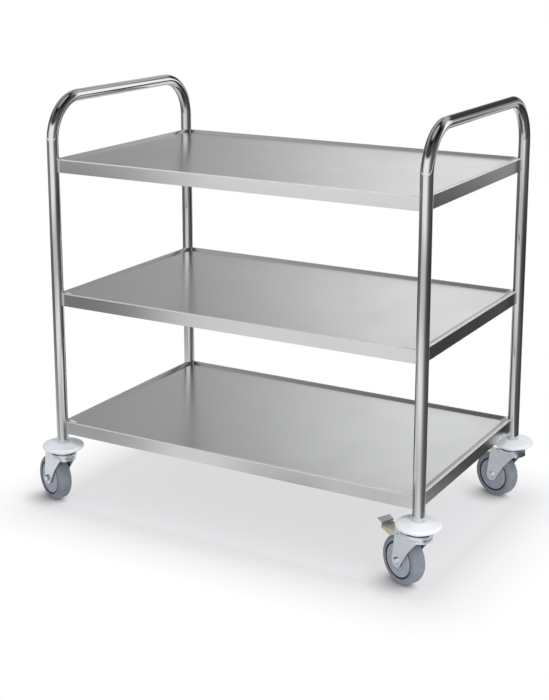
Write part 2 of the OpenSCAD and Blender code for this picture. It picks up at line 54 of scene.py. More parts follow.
bpy.context.scene.view_settings.view_transform = "Standard"


# Studio floor
# A white sweep of painted board. The camera sees it white from a step away from the trolley; close by, the
# trolley's soft shadow on it is partly cast and mostly painted. Polished metal sees painted light and shade
# in it.
def hex_colour(text):
    """An sRGB hex colour as the linear colour that a shader takes."""
    parts = [int(text[i:i + 2], 16) / 255 for i in (1, 3, 5)]
    return [p / 12.92 if p <= 0.04045 else ((p + 0.055) / 1.055) ** 2.4 for p in parts] + [1]


def add(tree, kind, inputs=None, stops=None, **settings):
    """Adds a node. An input is a value or another node's output; stops are a ramp's places and colours."""
    node = tree.nodes.new(kind)
    for name, value in settings.items():
        setattr(node, name, value)
    for name, value in (inputs or {}).items():
        if isinstance(value, bpy.types.NodeSocket):
            tree.links.new(value, node.inputs[name])
        else:
            node.inputs[name].default_value = value
    if stops:
        points = node.color_ramp.elements
        points.remove(points[1])
        points[0].position = stops[0][0]
        points[0].color = stops[0][1]
        for place, colour in stops[1:]:
            points.new(place).color = colour
    return node


def new_material(name):
    """An empty node material and its tree."""
    material = bpy.data.materials.new(name)
    material.use_nodes = True
    material.node_tree.nodes.clear()
    return material, material.node_tree


def studio_tone(tree, direction, tones):
    """How bright the studio is by compass direction, 0 before the trolley and 90 at its right."""
    parts = add(tree, "ShaderNodeSeparateXYZ", {"Vector": direction})
    ahead = add(tree, "ShaderNodeMath", {0: parts.outputs["Y"], 1: -1.0}, operation="MULTIPLY")
    turn = add(tree, "ShaderNodeMath", {0: parts.outputs["X"], 1: ahead.outputs[0]}, operation="ARCTAN2")
    place = add(tree, "ShaderNodeMapRange", {"Value": turn.outputs[0], "From Min": -math.pi,
                                             "From Max": math.pi})
    return add(tree, "ShaderNodeValToRGB", {"Fac": place.outputs[0]},
               stops=[(0.5 + degrees / 360, (tone, tone, tone, 1)) for degrees, tone in tones])


# What the camera sees: white, with a painted shadow within 200 mm of the trolley and painted contact
# shadows, darkest on the side of each wheel that faces away from the lamps. A quarter of it near the trolley
# is diffuse paint that takes the real shadow.
floor_half = 15
trolley_half = (0.42, 0.26, 0)
floor_material, tree = new_material("studio_floor_paint")
place = add(tree, "ShaderNodeTexCoord")
rays = add(tree, "ShaderNodeLightPath")
spread = add(tree, "ShaderNodeVectorMath", {0: place.outputs["Object"]}, operation="ABSOLUTE")
beyond = add(tree, "ShaderNodeVectorMath", {0: spread.outputs[0], 1: trolley_half}, operation="SUBTRACT")
outside = add(tree, "ShaderNodeVectorMath", {0: beyond.outputs[0], 1: (0, 0, 0)}, operation="MAXIMUM")
away = add(tree, "ShaderNodeVectorMath", {0: outside.outputs[0]}, operation="LENGTH")
fade = add(tree, "ShaderNodeMapRange", {"Value": away.outputs["Value"], "From Min": 0.0, "From Max": 0.2})
# Painted shadow: the white's colour darkens within 200 mm of the trolley.
shade = add(tree, "ShaderNodeValToRGB", {"Fac": fade.outputs[0]},
            stops=[(0.0, (0.85, 0.845, 0.86, 1)), (0.1, (0.81, 0.808, 0.82, 1)),
                   (0.18, (0.83, 0.828, 0.838, 1)), (0.35, (0.89, 0.889, 0.896, 1)),
                   (0.5, (0.935, 0.935, 0.94, 1)),
                   (0.7, (0.975, 0.975, 0.978, 1)), (0.95, (1, 1, 1, 1))])
# Painted contact shadow: occlusion looked for towards the lamps dims the white beside each wheel.
lamp_side = add(tree, "ShaderNodeCombineXYZ", {"X": 0.56, "Y": 0.32, "Z": 0.76})
contact = add(tree, "ShaderNodeAmbientOcclusion", {"Distance": 0.08, "Normal": lamp_side.outputs[0]},
              samples=8)
painted_contact_shadow = add(tree, "ShaderNodeMapRange", {"Value": contact.outputs["AO"], "From Min": 0.33, "From Max": 0.82,
                                         "To Min": 0.15, "To Max": 1.0})
paint = add(tree, "ShaderNodeBsdfDiffuse", {"Color": hex_colour("#F0EFF2")})
white = add(tree, "ShaderNodeEmission", {"Color": shade.outputs["Color"], "Strength": painted_contact_shadow.outputs[0]})
share = add(tree, "ShaderNodeMapRange", {"Value": fade.outputs[0], "To Min": 0.75, "To Max": 1.0})
seen = add(tree, "ShaderNodeMixShader", {0: share.outputs[0], 1: paint.outputs[0], 2: white.outputs[0]})

# What polished metal sees of the floor beyond 1.4 m from the trolley: the studio's light and shade painted
# on it by direction, with a painted dimmer ring 2.4 to 3.2 m out and painted lit floor from 12 m on.
tone = studio_tone(tree, place.outputs["Object"], (
    (-180, 1.0), (-155, 0.95), (-140, 0.55), (-128, 0.28), (-60, 0.24), (-42, 0.22), (-36.5, 0.26),
    (-32, 0.98), (-18, 1.02), (0, 1.02), (12, 1.08), (33, 0.95), (48, 0.5), (60, 0.25), (75, 0.13),
    (100, 0.1), (145, 0.05), (152, 0.05), (156, 0.25), (159, 0.7), (165, 1.0), (172, 1.0)))
reach = add(tree, "ShaderNodeVectorMath", {0: place.outputs["Object"]}, operation="LENGTH")
tenths = add(tree, "ShaderNodeMath", {0: reach.outputs["Value"], 1: 0.1}, operation="MULTIPLY")
ring = add(tree, "ShaderNodeValToRGB", {"Fac": tenths.outputs[0]},
           stops=[(0.0, (1, 1, 1, 1)), (0.16, (1, 1, 1, 1)), (0.24, (0.62, 0.62, 0.62, 1)),
                  (0.32, (0.62, 0.62, 0.62, 1)), (0.42, (1, 1, 1, 1))])
dimmed = add(tree, "ShaderNodeMix", {"Factor": 1.0, 6: tone.outputs["Color"], 7: ring.outputs["Color"]},
             data_type="RGBA", blend_type="MULTIPLY")
far = add(tree, "ShaderNodeMapRange", {"Value": reach.outputs["Value"], "From Min": 8.5, "From Max": 12.0})
lightened = add(tree, "ShaderNodeMix", {"Factor": far.outputs[0], 6: dimmed.outputs[2], 7: (1, 1, 1, 1)},
                data_type="RGBA")

# What it sees of the floor nearer than that: painted light and shade by distance and direction from the
# trolley, with the trolley's painted shadow close under it, and a painted dark patch of shade just before
# its middle.
near = add(tree, "ShaderNodeMapRange", {"Value": away.outputs["Value"], "From Min": 0.25, "From Max": 1.4,
                                        "To Min": 0.85, "To Max": 0.0}, interpolation_type="SMOOTHSTEP")
spot = add(tree, "ShaderNodeSeparateXYZ", {"Vector": place.outputs["Object"]})
rightward = add(tree, "ShaderNodeMapRange", {"Value": spot.outputs["X"], "From Min": 0.66, "From Max": 0.78,
                                             "To Min": 1.0, "To Max": 0.0})
near_share = add(tree, "ShaderNodeMath", {0: near.outputs[0], 1: rightward.outputs[0]}, operation="MULTIPLY")
# Painted shadow: darker under the trolley and just beside it.
painted_shade_beside = add(tree, "ShaderNodeValToRGB", {"Fac": away.outputs["Value"]},
             stops=[(0.0, (0.62, 0.62, 0.625, 1)), (0.06, (0.6, 0.6, 0.605, 1)), (0.15, (0.8, 0.8, 0.8, 1)),
                    (0.25, (0.88, 0.88, 0.88, 1)), (0.38, (0.77, 0.77, 0.77, 1)), (0.7, (0.6, 0.6, 0.6, 1))])
flank = studio_tone(tree, place.outputs["Object"], (
    (-180, 0.6), (-150, 0.9), (-115, 1.15), (-62, 1.05), (-50, 0.65), (-41, 0.7), (-33, 1.0), (-24, 1.0),
    (-14, 0.68), (-5, 0.73), (5, 0.75), (12, 0.66), (18, 0.52), (26, 0.95), (45, 1.15), (85, 1.15),
    (97, 0.5), (110, 0.22), (125, 0.1), (140, 0.05), (155, 0.3), (180, 0.6)))
clear = add(tree, "ShaderNodeMapRange", {"Value": away.outputs["Value"], "From Min": 0.04, "From Max": 0.14})
shaded = add(tree, "ShaderNodeMix", {"Factor": clear.outputs[0], 6: painted_shade_beside.outputs["Color"],
                                     7: flank.outputs["Color"]}, data_type="RGBA", blend_type="MULTIPLY")
# Painted shade: a dark patch just before the trolley's middle.
middle = add(tree, "ShaderNodeMapping", {"Vector": place.outputs["Object"], "Location": (0.0, 1.1, 0),
                                         "Scale": (9, 3.7, 0)})
off_middle = add(tree, "ShaderNodeVectorMath", {0: middle.outputs[0]}, operation="LENGTH")
painted_dark_patch = add(tree, "ShaderNodeMapRange", {"Value": off_middle.outputs["Value"], "From Min": 0.7,
                                         "From Max": 1.3, "To Min": 0.12, "To Max": 1.0},
            interpolation_type="SMOOTHSTEP")
with_painted_patch = add(tree, "ShaderNodeVectorMath", {0: shaded.outputs[2], "Scale": painted_dark_patch.outputs[0]},
              operation="SCALE")
around = add(tree, "ShaderNodeMix", {"Factor": near_share.outputs[0], 6: lightened.outputs[2],
                                     7: with_painted_patch.outputs[0]}, data_type="RGBA")
lit = add(tree, "ShaderNodeEmission", {"Color": around.outputs[2], "Strength": 1.0})
mirrored = add(tree, "ShaderNodeMath", {0: rays.outputs["Is Glossy Ray"],
                                        1: rays.outputs["Is Transmission Ray"]}, operation="MAXIMUM")
other = add(tree, "ShaderNodeMixShader", {0: rays.outputs["Is Camera Ray"], 1: paint.outputs[0],
                                          2: seen.outputs[0]})
whole = add(tree, "ShaderNodeMixShader", {0: mirrored.outputs[0], 1: other.outputs[0], 2: lit.outputs[0]})
add(tree, "ShaderNodeOutputMaterial", {"Surface": whole.outputs[0]})

bm = bmesh.new()
bmesh.ops.create_grid(bm, x_segments=1, y_segments=1, size=floor_half)
floor_mesh = bpy.data.meshes.new("floor")
bm.to_mesh(floor_mesh)
bm.free()
floor_mesh.materials.append(floor_material)
floor = bpy.data.objects.new("floor", floor_mesh)
bpy.context.collection.objects.link(floor)

# Studio light
# An even white room, one large soft box overhead and a smaller one at the right. Metal mirrors the room's
# walls, toned by direction in three bands, under an unlit ceiling that is pale only at its middle.
world = bpy.data.worlds.new("studio")
bpy.context.scene.world = world
world.use_nodes = True
tree = world.node_tree
tree.nodes.clear()
rays = add(tree, "ShaderNodeLightPath")
direction = add(tree, "ShaderNodeTexCoord")
front_tones = ((-161, 0.9), (-159, 1.0), (-156, 0.92), (-154, 0.82), (-151, 0.63), (-148, 0.45),
               (-145, 0.4), (-134, 0.2), (-125, 0.1), (-66, 0.1), (-48, 0.6), (-30, 1.05), (33, 1.1),
               (50, 0.5), (75, 0.13), (135, 0.1), (140, 1.2))
skyline = studio_tone(tree, direction.outputs["Generated"],
                      ((-180, 0.3), (-164, 0.2)) + front_tones
                      + ((152, 1.2), (157, 0.3), (166, 0.2), (180, 0.3)))
lower = studio_tone(tree, direction.outputs["Generated"],
                    ((-180, 0.08), (-164, 0.08)) + front_tones + ((149, 1.2), (156, 0.06), (180, 0.045)))
upper = studio_tone(tree, direction.outputs["Generated"], (
    (-180, 0.5), (-168, 0.42), (-160, 0.24), (-151, 0.32), (-138, 0.5), (-112, 0.48), (-85, 0.34),
    (-60, 0.24), (-40, 0.07), (0, 0.06), (30, 0.07), (49, 0.12), (65, 0.1), (80, 0.05), (100, 0.015),
    (125, 0.01), (138, 0.15), (150, 0.5), (166, 0.5), (180, 0.55)))
height = add(tree, "ShaderNodeSeparateXYZ", {"Vector": direction.outputs["Generated"]})
low = add(tree, "ShaderNodeMapRange", {"Value": height.outputs["Z"], "From Min": 0.1, "From Max": 0.24},
          interpolation_type="SMOOTHSTEP")
band = add(tree, "ShaderNodeMix", {"Factor": low.outputs[0], 6: skyline.outputs["Color"],
                                   7: lower.outputs["Color"]}, data_type="RGBA")
raised = add(tree, "ShaderNodeMapRange", {"Value": height.outputs["Z"], "From Min": 0.42, "From Max": 0.56},
             interpolation_type="SMOOTHSTEP")
wall = add(tree, "ShaderNodeMix", {"Factor": raised.outputs[0], 6: band.outputs[2],
                                   7: upper.outputs["Color"]}, data_type="RGBA")
overhead = add(tree, "ShaderNodeMapRange", {"Value": height.outputs["Z"], "From Min": 0.74, "From Max": 0.9},
               interpolation_type="SMOOTHSTEP")
room = add(tree, "ShaderNodeMix", {"Factor": overhead.outputs[0], 6: wall.outputs[2],
                                   7: (0.012, 0.012, 0.013, 1)}, data_type="RGBA")
zenith = add(tree, "ShaderNodeMapRange", {"Value": height.outputs["Z"], "From Min": 0.91, "From Max": 0.96},
             interpolation_type="SMOOTHSTEP")
topped = add(tree, "ShaderNodeMix", {"Factor": zenith.outputs[0], 6: room.outputs[2],
                                     7: (0.42, 0.42, 0.43, 1)}, data_type="RGBA")
mirrored = add(tree, "ShaderNodeBackground", {"Color": topped.outputs[2], "Strength": 1.0})
fill = add(tree, "ShaderNodeBackground", {"Color": hex_colour("#FBFCFF"), "Strength": 0.55})
white = add(tree, "ShaderNodeBackground", {"Color": (1, 1, 1, 1), "Strength": 1.0})
lighting = add(tree, "ShaderNodeMixShader", {0: rays.outputs["Is Diffuse Ray"], 1: mirrored.outputs[0],
                                             2: fill.outputs[0]})
whole = add(tree, "ShaderNodeMixShader", {0: rays.outputs["Is Camera Ray"], 1: lighting.outputs[0],
                                          2: white.outputs[0]})
add(tree, "ShaderNodeOutputWorld", {"Surface": whole.outputs[0]})


trolley_middle = Vector((0, 0, 0.45))


def soft_box(name, width, watts, where):
    """A square soft box that points at the middle of the trolley."""
    lamp_data = bpy.data.lights.new(name, "AREA")
    lamp_data.size = width
    lamp_data.energy = watts
    lamp = bpy.data.objects.new(name, lamp_data)
    bpy.context.collection.objects.link(lamp)
    lamp.location = where
    lamp.rotation_euler = (trolley_middle - Vector(where)).to_track_quat("-Z", "Y").to_euler()
    lamp.visible_glossy = False


soft_box("overhead_soft_box", 3.0, 42, (0.5, -0.2, 3.2))
soft_box("side_soft_box", 1.6, 26, (2.4, -1.5, 1.7))

# Frame tubes
# Each end of the trolley is one 25 mm stainless tube with a 1.2 mm wall, bent twice on a 90 mm radius and
# buffed bright. Buffing leaves faint lines along it, and the mirror between them shows the room.
mm = 0.001
tube_r = 12.5 * mm
tube_wall = 1.2 * mm
tube_bend_r = 90 * mm
tube_foot_z = 143 * mm
handle_z = 896.5 * mm
half_x = 425 * mm
half_y = 255 * mm
tube_sides = 96
bend_steps = 28
bend_z = handle_z - tube_bend_r
straight_y = half_y - tube_bend_r

# Buffed stainless tube: an almost clear mirror, with soft waves 70 mm long from drawing and bending. The
# buffing lines are 0.05 mm apart, too fine to show, so they are drawn 2.5 mm apart.
bright_tube, tree = new_material("buffed_stainless_tube")
grain = add(tree, "ShaderNodeAttribute", attribute_name="tube_grain")
stretched = add(tree, "ShaderNodeMapping", {"Vector": grain.outputs["Vector"],
                                            "Scale": (1 / (2.5 * mm), 1 / (2.5 * mm), 1 / (200 * mm))})
lines = add(tree, "ShaderNodeTexNoise", {"Vector": stretched.outputs[0], "Scale": 1.0, "Detail": 3.0})
waves = add(tree, "ShaderNodeTexNoise", {"Vector": grain.outputs["Vector"], "Scale": 1 / (70 * mm),
                                         "Detail": 1.0})
gloss = add(tree, "ShaderNodeMapRange", {"Value": lines.outputs["Fac"], "From Min": 0.3, "From Max": 0.75,
                                         "To Min": 0.04, "To Max": 0.1})
relief = add(tree, "ShaderNodeBump", {"Strength": 0.05, "Distance": 0.0002, "Height": lines.outputs["Fac"]})
wavy = add(tree, "ShaderNodeBump", {"Strength": 0.15, "Distance": 0.001, "Height": waves.outputs["Fac"],
                                    "Normal": relief.outputs[0]})
metal = add(tree, "ShaderNodeBsdfPrincipled", {"Base Color": hex_colour("#DCDDDF"), "Metallic": 1.0,
                                               "Roughness": gloss.outputs[0], "Normal": wavy.outputs[0]})
add(tree, "ShaderNodeOutputMaterial", {"Surface": metal.outputs[0]})


def new_piece(name, bm, material, body, nodes, sharp=35):
    """Finishes a mesh as a piece that rides a body and stands for CAD nodes."""
    mesh = bpy.data.meshes.new(name)
    bm.to_mesh(mesh)
    bm.free()
    mesh.shade_smooth()
    mesh.set_sharp_from_angle(angle=math.radians(sharp))
    mesh.materials.append(material)
    piece = bpy.data.objects.new(name, mesh)
    bpy.context.collection.objects.link(piece)
    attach(piece, body)
    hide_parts(*nodes)
    return piece


def stretch(bm, ring, step):
    """Extrudes a ring of edges by a step and gives the new ring."""
    grown = bmesh.ops.extrude_edge_only(bm, edges=ring)["geom"]
    moved = [part for part in grown if isinstance(part, bmesh.types.BMVert)]
    bmesh.ops.translate(bm, verts=moved, vec=step)
    return [part for part in grown if isinstance(part, bmesh.types.BMEdge) and set(part.verts) <= set(moved)]


def swing(bm, ring, centre, axis, angle, steps):
    """Spins a ring of edges about a line and gives the last ring."""
    corners = list({vert for edge in ring for vert in edge.verts})
    swept = bmesh.ops.spin(bm, geom=corners + ring, cent=centre, axis=axis, dvec=(0, 0, 0), angle=angle,
                           steps=steps, use_merge=False, use_duplicate=False)
    return [part for part in swept["geom_last"] if isinstance(part, bmesh.types.BMEdge)]


def mark_tube_grain(bm, x):
    """Stores each point's place on the tube as if it were straight, so that lines follow the bends."""
    layer = bm.verts.layers.float_vector.new("tube_grain")
    for vert in bm.verts:
        out_y = abs(vert.co.y) - straight_y
        up_z = vert.co.z - bend_z
        if out_y <= 0:
            off, along = up_z - tube_bend_r, tube_bend_r * math.pi / 2 - out_y
        elif up_z <= 0:
            off, along = out_y - tube_bend_r, up_z
        else:
            off, along = math.hypot(out_y, up_z) - tube_bend_r, tube_bend_r * math.atan2(up_z, out_y)
        vert[layer] = Vector((vert.co.x - x, off, along))


for side, name in ((-1, "left_frame_tube"), (1, "right_frame_tube")):
    x = side * half_x
    bm = bmesh.new()
    foot = bmesh.ops.create_circle(bm, segments=tube_sides, radius=tube_r)["verts"]
    bmesh.ops.translate(bm, verts=foot, vec=(x, -half_y, tube_foot_z))
    ring = stretch(bm, bm.edges[:], (0, 0, bend_z - tube_foot_z))
    ring = swing(bm, ring, (x, -straight_y, bend_z), (-1, 0, 0), math.pi / 2, bend_steps)
    ring = stretch(bm, ring, (0, 2 * straight_y, 0))
    ring = swing(bm, ring, (x, straight_y, bend_z), (-1, 0, 0), math.pi / 2, bend_steps)
    stretch(bm, ring, (0, 0, tube_foot_z - bend_z))
    bmesh.ops.remove_doubles(bm, verts=bm.verts, dist=0.01 * mm)
    bmesh.ops.recalc_face_normals(bm, faces=bm.faces)
    bmesh.ops.solidify(bm, geom=bm.faces[:], thickness=tube_wall)
    mark_tube_grain(bm, x)
    new_piece(name + "_bright", bm, bright_tube, "frame", [name])

# Shelves
# Three trays of 1 mm stainless sheet with a satin finish. The press lowers the deck behind a narrow rim,
# the edges are folded down and hemmed, and each corner is notched round its tube.
sheet_t = 1 * mm
flange_h = 28 * mm
hem_w = 8 * mm
rim_w = 5 * mm
slope_w = 13 * mm
deck_drop = 5.5 * mm
fold_r = 6 * mm
fold_steps = 4
flange_fold_r = 2.2 * mm
slope_turn = math.atan2(deck_drop, slope_w)
fold_start = fold_r * math.tan(slope_turn / 2)
notch_gap = 0.05 * mm
notch_steps = 20
shelf_rims = {"bottom_shelf": 191 * mm, "middle_shelf": 481 * mm, "top_shelf": 771 * mm}

# Satin rolled stainless sheet: a soft mirror that smears across the rolling lines, with buckles 300 mm long
# and wiping smears 110 mm wide. The lines are 0.1 mm apart, too fine to show, so they are drawn 2.5 mm
# apart. The outer folds' upward faces are paler and duller: partly scuffed by folding and handling, and
# partly a painted highlight along the top of each fold.
satin_sheet, tree = new_material("satin_rolled_stainless_sheet")
place = add(tree, "ShaderNodeTexCoord")
rolled = add(tree, "ShaderNodeMapping", {"Vector": place.outputs["Object"],
                                         "Scale": (1 / (330 * mm), 1 / (2.5 * mm), 1 / (2.5 * mm))})
lines = add(tree, "ShaderNodeTexNoise", {"Vector": rolled.outputs[0], "Scale": 1.0, "Detail": 4.0})
buckles = add(tree, "ShaderNodeTexNoise", {"Vector": place.outputs["Object"], "Scale": 1 / (300 * mm),
                                           "Detail": 1.0})
smears = add(tree, "ShaderNodeTexNoise", {"Vector": place.outputs["Object"], "Scale": 1 / (110 * mm),
                                          "Detail": 3.0})
gloss = add(tree, "ShaderNodeMapRange", {"Value": smears.outputs["Fac"], "From Min": 0.3, "From Max": 0.7,
                                         "To Min": 0.2, "To Max": 0.235})
relief = add(tree, "ShaderNodeBump", {"Strength": 0.02, "Distance": 0.0001, "Height": lines.outputs["Fac"]})
wavy = add(tree, "ShaderNodeBump", {"Strength": 0.15, "Distance": 0.001, "Height": buckles.outputs["Fac"],
                                    "Normal": relief.outputs[0]})
across_rolling = add(tree, "ShaderNodeCombineXYZ", {"X": 0.0, "Y": 1.0, "Z": 0.05})
metal = add(tree, "ShaderNodeBsdfPrincipled", {"Base Color": hex_colour("#DFE0E1"), "Metallic": 1.0,
                                               "Roughness": gloss.outputs[0], "Anisotropic": 0.6,
                                               "Normal": wavy.outputs[0],
                                               "Tangent": across_rolling.outputs[0]})
surface = add(tree, "ShaderNodeNewGeometry")
facing = add(tree, "ShaderNodeSeparateXYZ", {"Vector": surface.outputs["Normal"]})
spread = add(tree, "ShaderNodeVectorMath", {0: place.outputs["Object"]}, operation="ABSOLUTE")
outer = add(tree, "ShaderNodeVectorMath", {0: spread.outputs[0], 1: (half_x, half_y, 0)},
            operation="SUBTRACT")
past = add(tree, "ShaderNodeSeparateXYZ", {"Vector": outer.outputs[0]})
edge_place = add(tree, "ShaderNodeMath", {0: past.outputs["X"], 1: past.outputs["Y"]}, operation="MAXIMUM")
fold_top = add(tree, "ShaderNodeMapRange", {"Value": edge_place.outputs[0], "From Min": -3.2 * mm,
                                            "From Max": -2.0 * mm, "To Min": 0.0, "To Max": 0.75})
# Only the fold's upward-turned faces, where light catches it, are paled: a painted highlight as well as
# scuffing.
fold_side = add(tree, "ShaderNodeMapRange", {"Value": facing.outputs["Z"], "From Min": 0.08,
                                             "From Max": 0.3})
scuff_and_highlight_mask = add(tree, "ShaderNodeMath", {0: fold_top.outputs[0], 1: fold_side.outputs[0]}, operation="MULTIPLY")
pale_scuff_and_highlight = add(tree, "ShaderNodeBsdfPrincipled", {"Base Color": hex_colour("#EEEFEF"), "Metallic": 0.1,
                                                 "Roughness": 0.5})
sheet = add(tree, "ShaderNodeMixShader", {0: scuff_and_highlight_mask.outputs[0], 1: metal.outputs[0], 2: pale_scuff_and_highlight.outputs[0]})
add(tree, "ShaderNodeOutputMaterial", {"Surface": sheet.outputs[0]})


def shelf_ring(bm, inset, z):
    """A closed line round the shelf, inset from its edge, that turns round each tube. Gives its edges."""
    old = set(bm.edges)
    reach = tube_r + notch_gap + inset
    slant = math.asin(inset / reach)
    arcs = []
    for quarter, (sx, sy) in enumerate(((1, 1), (-1, 1), (-1, -1), (1, -1))):
        post = Vector((sx * half_x, sy * half_y, z))
        start = math.radians(270 + 90 * quarter) - slant
        first = bm.verts.new(post + reach * Vector((math.cos(start), math.sin(start), 0)))
        swept = bmesh.ops.spin(bm, geom=[first], cent=post, axis=(0, 0, -1), dvec=(0, 0, 0),
                               angle=math.pi / 2 - 2 * slant, steps=notch_steps, use_merge=False,
                               use_duplicate=False)
        last = [part for part in swept["geom_last"] if isinstance(part, bmesh.types.BMVert)][0]
        arcs.append((first, last))
    for i in range(4):
        bm.edges.new((arcs[i - 1][1], arcs[i][0]))
    return [edge for edge in bm.edges if edge not in old]


def faced_up(bm):
    """Turns the faces of an open sheet one way, so that most of its area faces up."""
    bmesh.ops.recalc_face_normals(bm, faces=bm.faces)
    if sum(face.calc_area() * face.normal.z for face in bm.faces) < 0:
        bmesh.ops.reverse_faces(bm, faces=bm.faces)


turns = [slope_turn * step / fold_steps for step in range(fold_steps + 1)]
for name, rim_z in shelf_rims.items():
    bm = bmesh.new()
    line = shelf_ring(bm, 0, 0)
    for turn in turns:
        inner = shelf_ring(bm, rim_w - fold_start + fold_r * math.sin(turn), fold_r * (math.cos(turn) - 1))
        bmesh.ops.bridge_loops(bm, edges=line + inner)
        line = inner
    for turn in reversed(turns):
        inner = shelf_ring(bm, rim_w + slope_w + fold_start - fold_r * math.sin(turn),
                           fold_r * (1 - math.cos(turn)) - deck_drop)
        bmesh.ops.bridge_loops(bm, edges=line + inner)
        line = inner
    bmesh.ops.contextual_create(bm, geom=line)
    straights = [edge for edge in bm.edges if edge.is_boundary and edge.calc_length() > half_y]
    hems = stretch(bm, straights, (0, 0, -flange_h))
    for hem in hems:
        middle = (hem.verts[0].co + hem.verts[1].co) / 2
        inward = Vector((-math.copysign(hem_w, middle.x), 0, 0))
        if abs(middle.x) < half_x / 2:
            inward = Vector((0, -math.copysign(hem_w, middle.y), 0))
        stretch(bm, [hem], inward)
    bmesh.ops.bevel(bm, geom=straights, offset=flange_fold_r, offset_type="OFFSET", segments=5,
                    profile=0.5, affect="EDGES", material=-1)
    faced_up(bm)
    bmesh.ops.solidify(bm, geom=bm.faces[:], thickness=sheet_t)
    bmesh.ops.translate(bm, verts=bm.verts, vec=(0, 0, rim_z))
    shelf = new_piece(name + "_satin", bm, satin_sheet, "frame", [name])
    shelf.modifiers.new("flat_deck", "WEIGHTED_NORMAL").keep_sharp = True

# Shelf fixings
# Inside each shelf corner a steel angle is bolted through the tube's wall into a rivet nut. They are seen
# only from below, with zinc plated bolts and washers and a plain satin bracket.

# Bright zinc plate on pressed steel: a half clear, bluish shine with paler clouds 14 mm across. The pits in
# the plate are 0.2 mm wide, too fine to show, so they are drawn 2.5 mm wide.
zinc_plate, tree = new_material("bright_zinc_plated_pressed_steel")
place = add(tree, "ShaderNodeTexCoord")
clouds = add(tree, "ShaderNodeTexNoise", {"Vector": place.outputs["Object"], "Scale": 1 / (14 * mm),
                                          "Detail": 2.0})
pits = add(tree, "ShaderNodeTexNoise", {"Vector": place.outputs["Object"], "Scale": 1 / (2.5 * mm),
                                        "Detail": 1.0})
tint = add(tree, "ShaderNodeValToRGB", {"Fac": clouds.outputs["Fac"]},
           stops=[(0.3, hex_colour("#DAE2EB")), (0.5, hex_colour("#E3E9EF")), (0.72, hex_colour("#EAEBEA"))])
gloss = add(tree, "ShaderNodeMapRange", {"Value": clouds.outputs["Fac"], "From Min": 0.3, "From Max": 0.7,
                                         "To Min": 0.16, "To Max": 0.22})
relief = add(tree, "ShaderNodeBump", {"Strength": 0.02, "Distance": 0.0002, "Height": pits.outputs["Fac"]})
metal = add(tree, "ShaderNodeBsdfPrincipled", {"Base Color": tint.outputs["Color"], "Metallic": 1.0,
                                               "Roughness": gloss.outputs[0], "Normal": relief.outputs[0]})
add(tree, "ShaderNodeOutputMaterial", {"Surface": metal.outputs[0]})


def finish_node(node, material):
    """Gives a CAD node its material."""
    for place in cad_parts[node].material_slots:
        place.material = material


finish_node("shelf_corner_brackets", satin_sheet)
for node in ("shelf_bolts", "shelf_bolt_washers", "rivet_nuts"):
    finish_node(node, zinc_plate)

# Wall bumpers
# A thick white rubber disc under each tube foot keeps the trolley off walls. It is moulded with a rounded
# rim, so it looks matt and faintly blue, with light scuffs on its edge.

# Each castor's side and end of the trolley and its turn in degrees. Sizes of castors are in millimetres
# about the stem's axis, and castor_place puts them on the trolley.
castors = {"front_left": (-1, -1, 157), "front_right": (1, -1, 155), "back_left": (-1, 1, 158),
           "back_right": (1, 1, 162)}
stem_hole_r = 5.05
bumper_r = 44.98
bumper_bottom = 124
bumper_top = 143

# Moulded white rubber: even, soft and matt, with faint scuffs 17 mm long. It is given a little blue light
# of its own, a painted glow that brightens it. The mould's grain is 0.1 mm, too fine to show, so it is drawn
# 2 mm wide.
white_rubber, tree = new_material("moulded_white_bumper_rubber")
place = add(tree, "ShaderNodeTexCoord")
scuffs = add(tree, "ShaderNodeTexNoise", {"Vector": place.outputs["Object"], "Scale": 1 / (17 * mm),
                                          "Detail": 5.0})
skin = add(tree, "ShaderNodeTexNoise", {"Vector": place.outputs["Object"], "Scale": 1 / (2 * mm),
                                        "Detail": 1.0})
tint = add(tree, "ShaderNodeValToRGB", {"Fac": scuffs.outputs["Fac"]},
           stops=[(0.25, hex_colour("#EEF1F4")), (0.42, hex_colour("#F3F6F9")),
                  (0.8, hex_colour("#F6F8FA"))])
relief = add(tree, "ShaderNodeBump", {"Strength": 0.15, "Distance": 0.0001, "Height": skin.outputs["Fac"]})
rubber = add(tree, "ShaderNodeBsdfPrincipled", {"Base Color": tint.outputs["Color"], "Roughness": 0.5,
                                                "Normal": relief.outputs[0],
                                                # Painted light: a faint blue glow, though the rubber is no
                                                # lamp.
                                                "Emission Color": hex_colour("#EAF1FF"),
                                                "Emission Strength": 0.07})
add(tree, "ShaderNodeOutputMaterial", {"Surface": rubber.outputs[0]})


def castor_place(corner):
    """Where a castor's millimetres lie on the trolley."""
    side, end, turn = castors[corner]
    spot = Matrix.Translation((side * half_x, end * half_y, 0))
    return spot @ Matrix.Rotation(math.radians(turn), 4, "Z") @ Matrix.Scale(mm, 4)


def draw_line(bm, corners, closed=True):
    """A line in the XZ plane through corners of (x, z, rounding). Gives its edges."""
    old = set(bm.edges)
    points = [bm.verts.new((x, 0, z)) for x, z, rounding in corners]
    for first, second in zip(points, points[1:] + points[:1] if closed else points[1:]):
        bm.edges.new((first, second))
    for point, (x, z, rounding) in zip(points, corners):
        if rounding:
            arms = [edge.other_vert(point).co - point.co for edge in point.link_edges]
            cut = rounding / math.tan(arms[0].angle(arms[1]) / 2)
            bmesh.ops.bevel(bm, geom=[point], offset=cut, offset_type="OFFSET", segments=8, profile=0.5,
                            affect="VERTICES", material=-1)
    return [edge for edge in bm.edges if edge not in old]


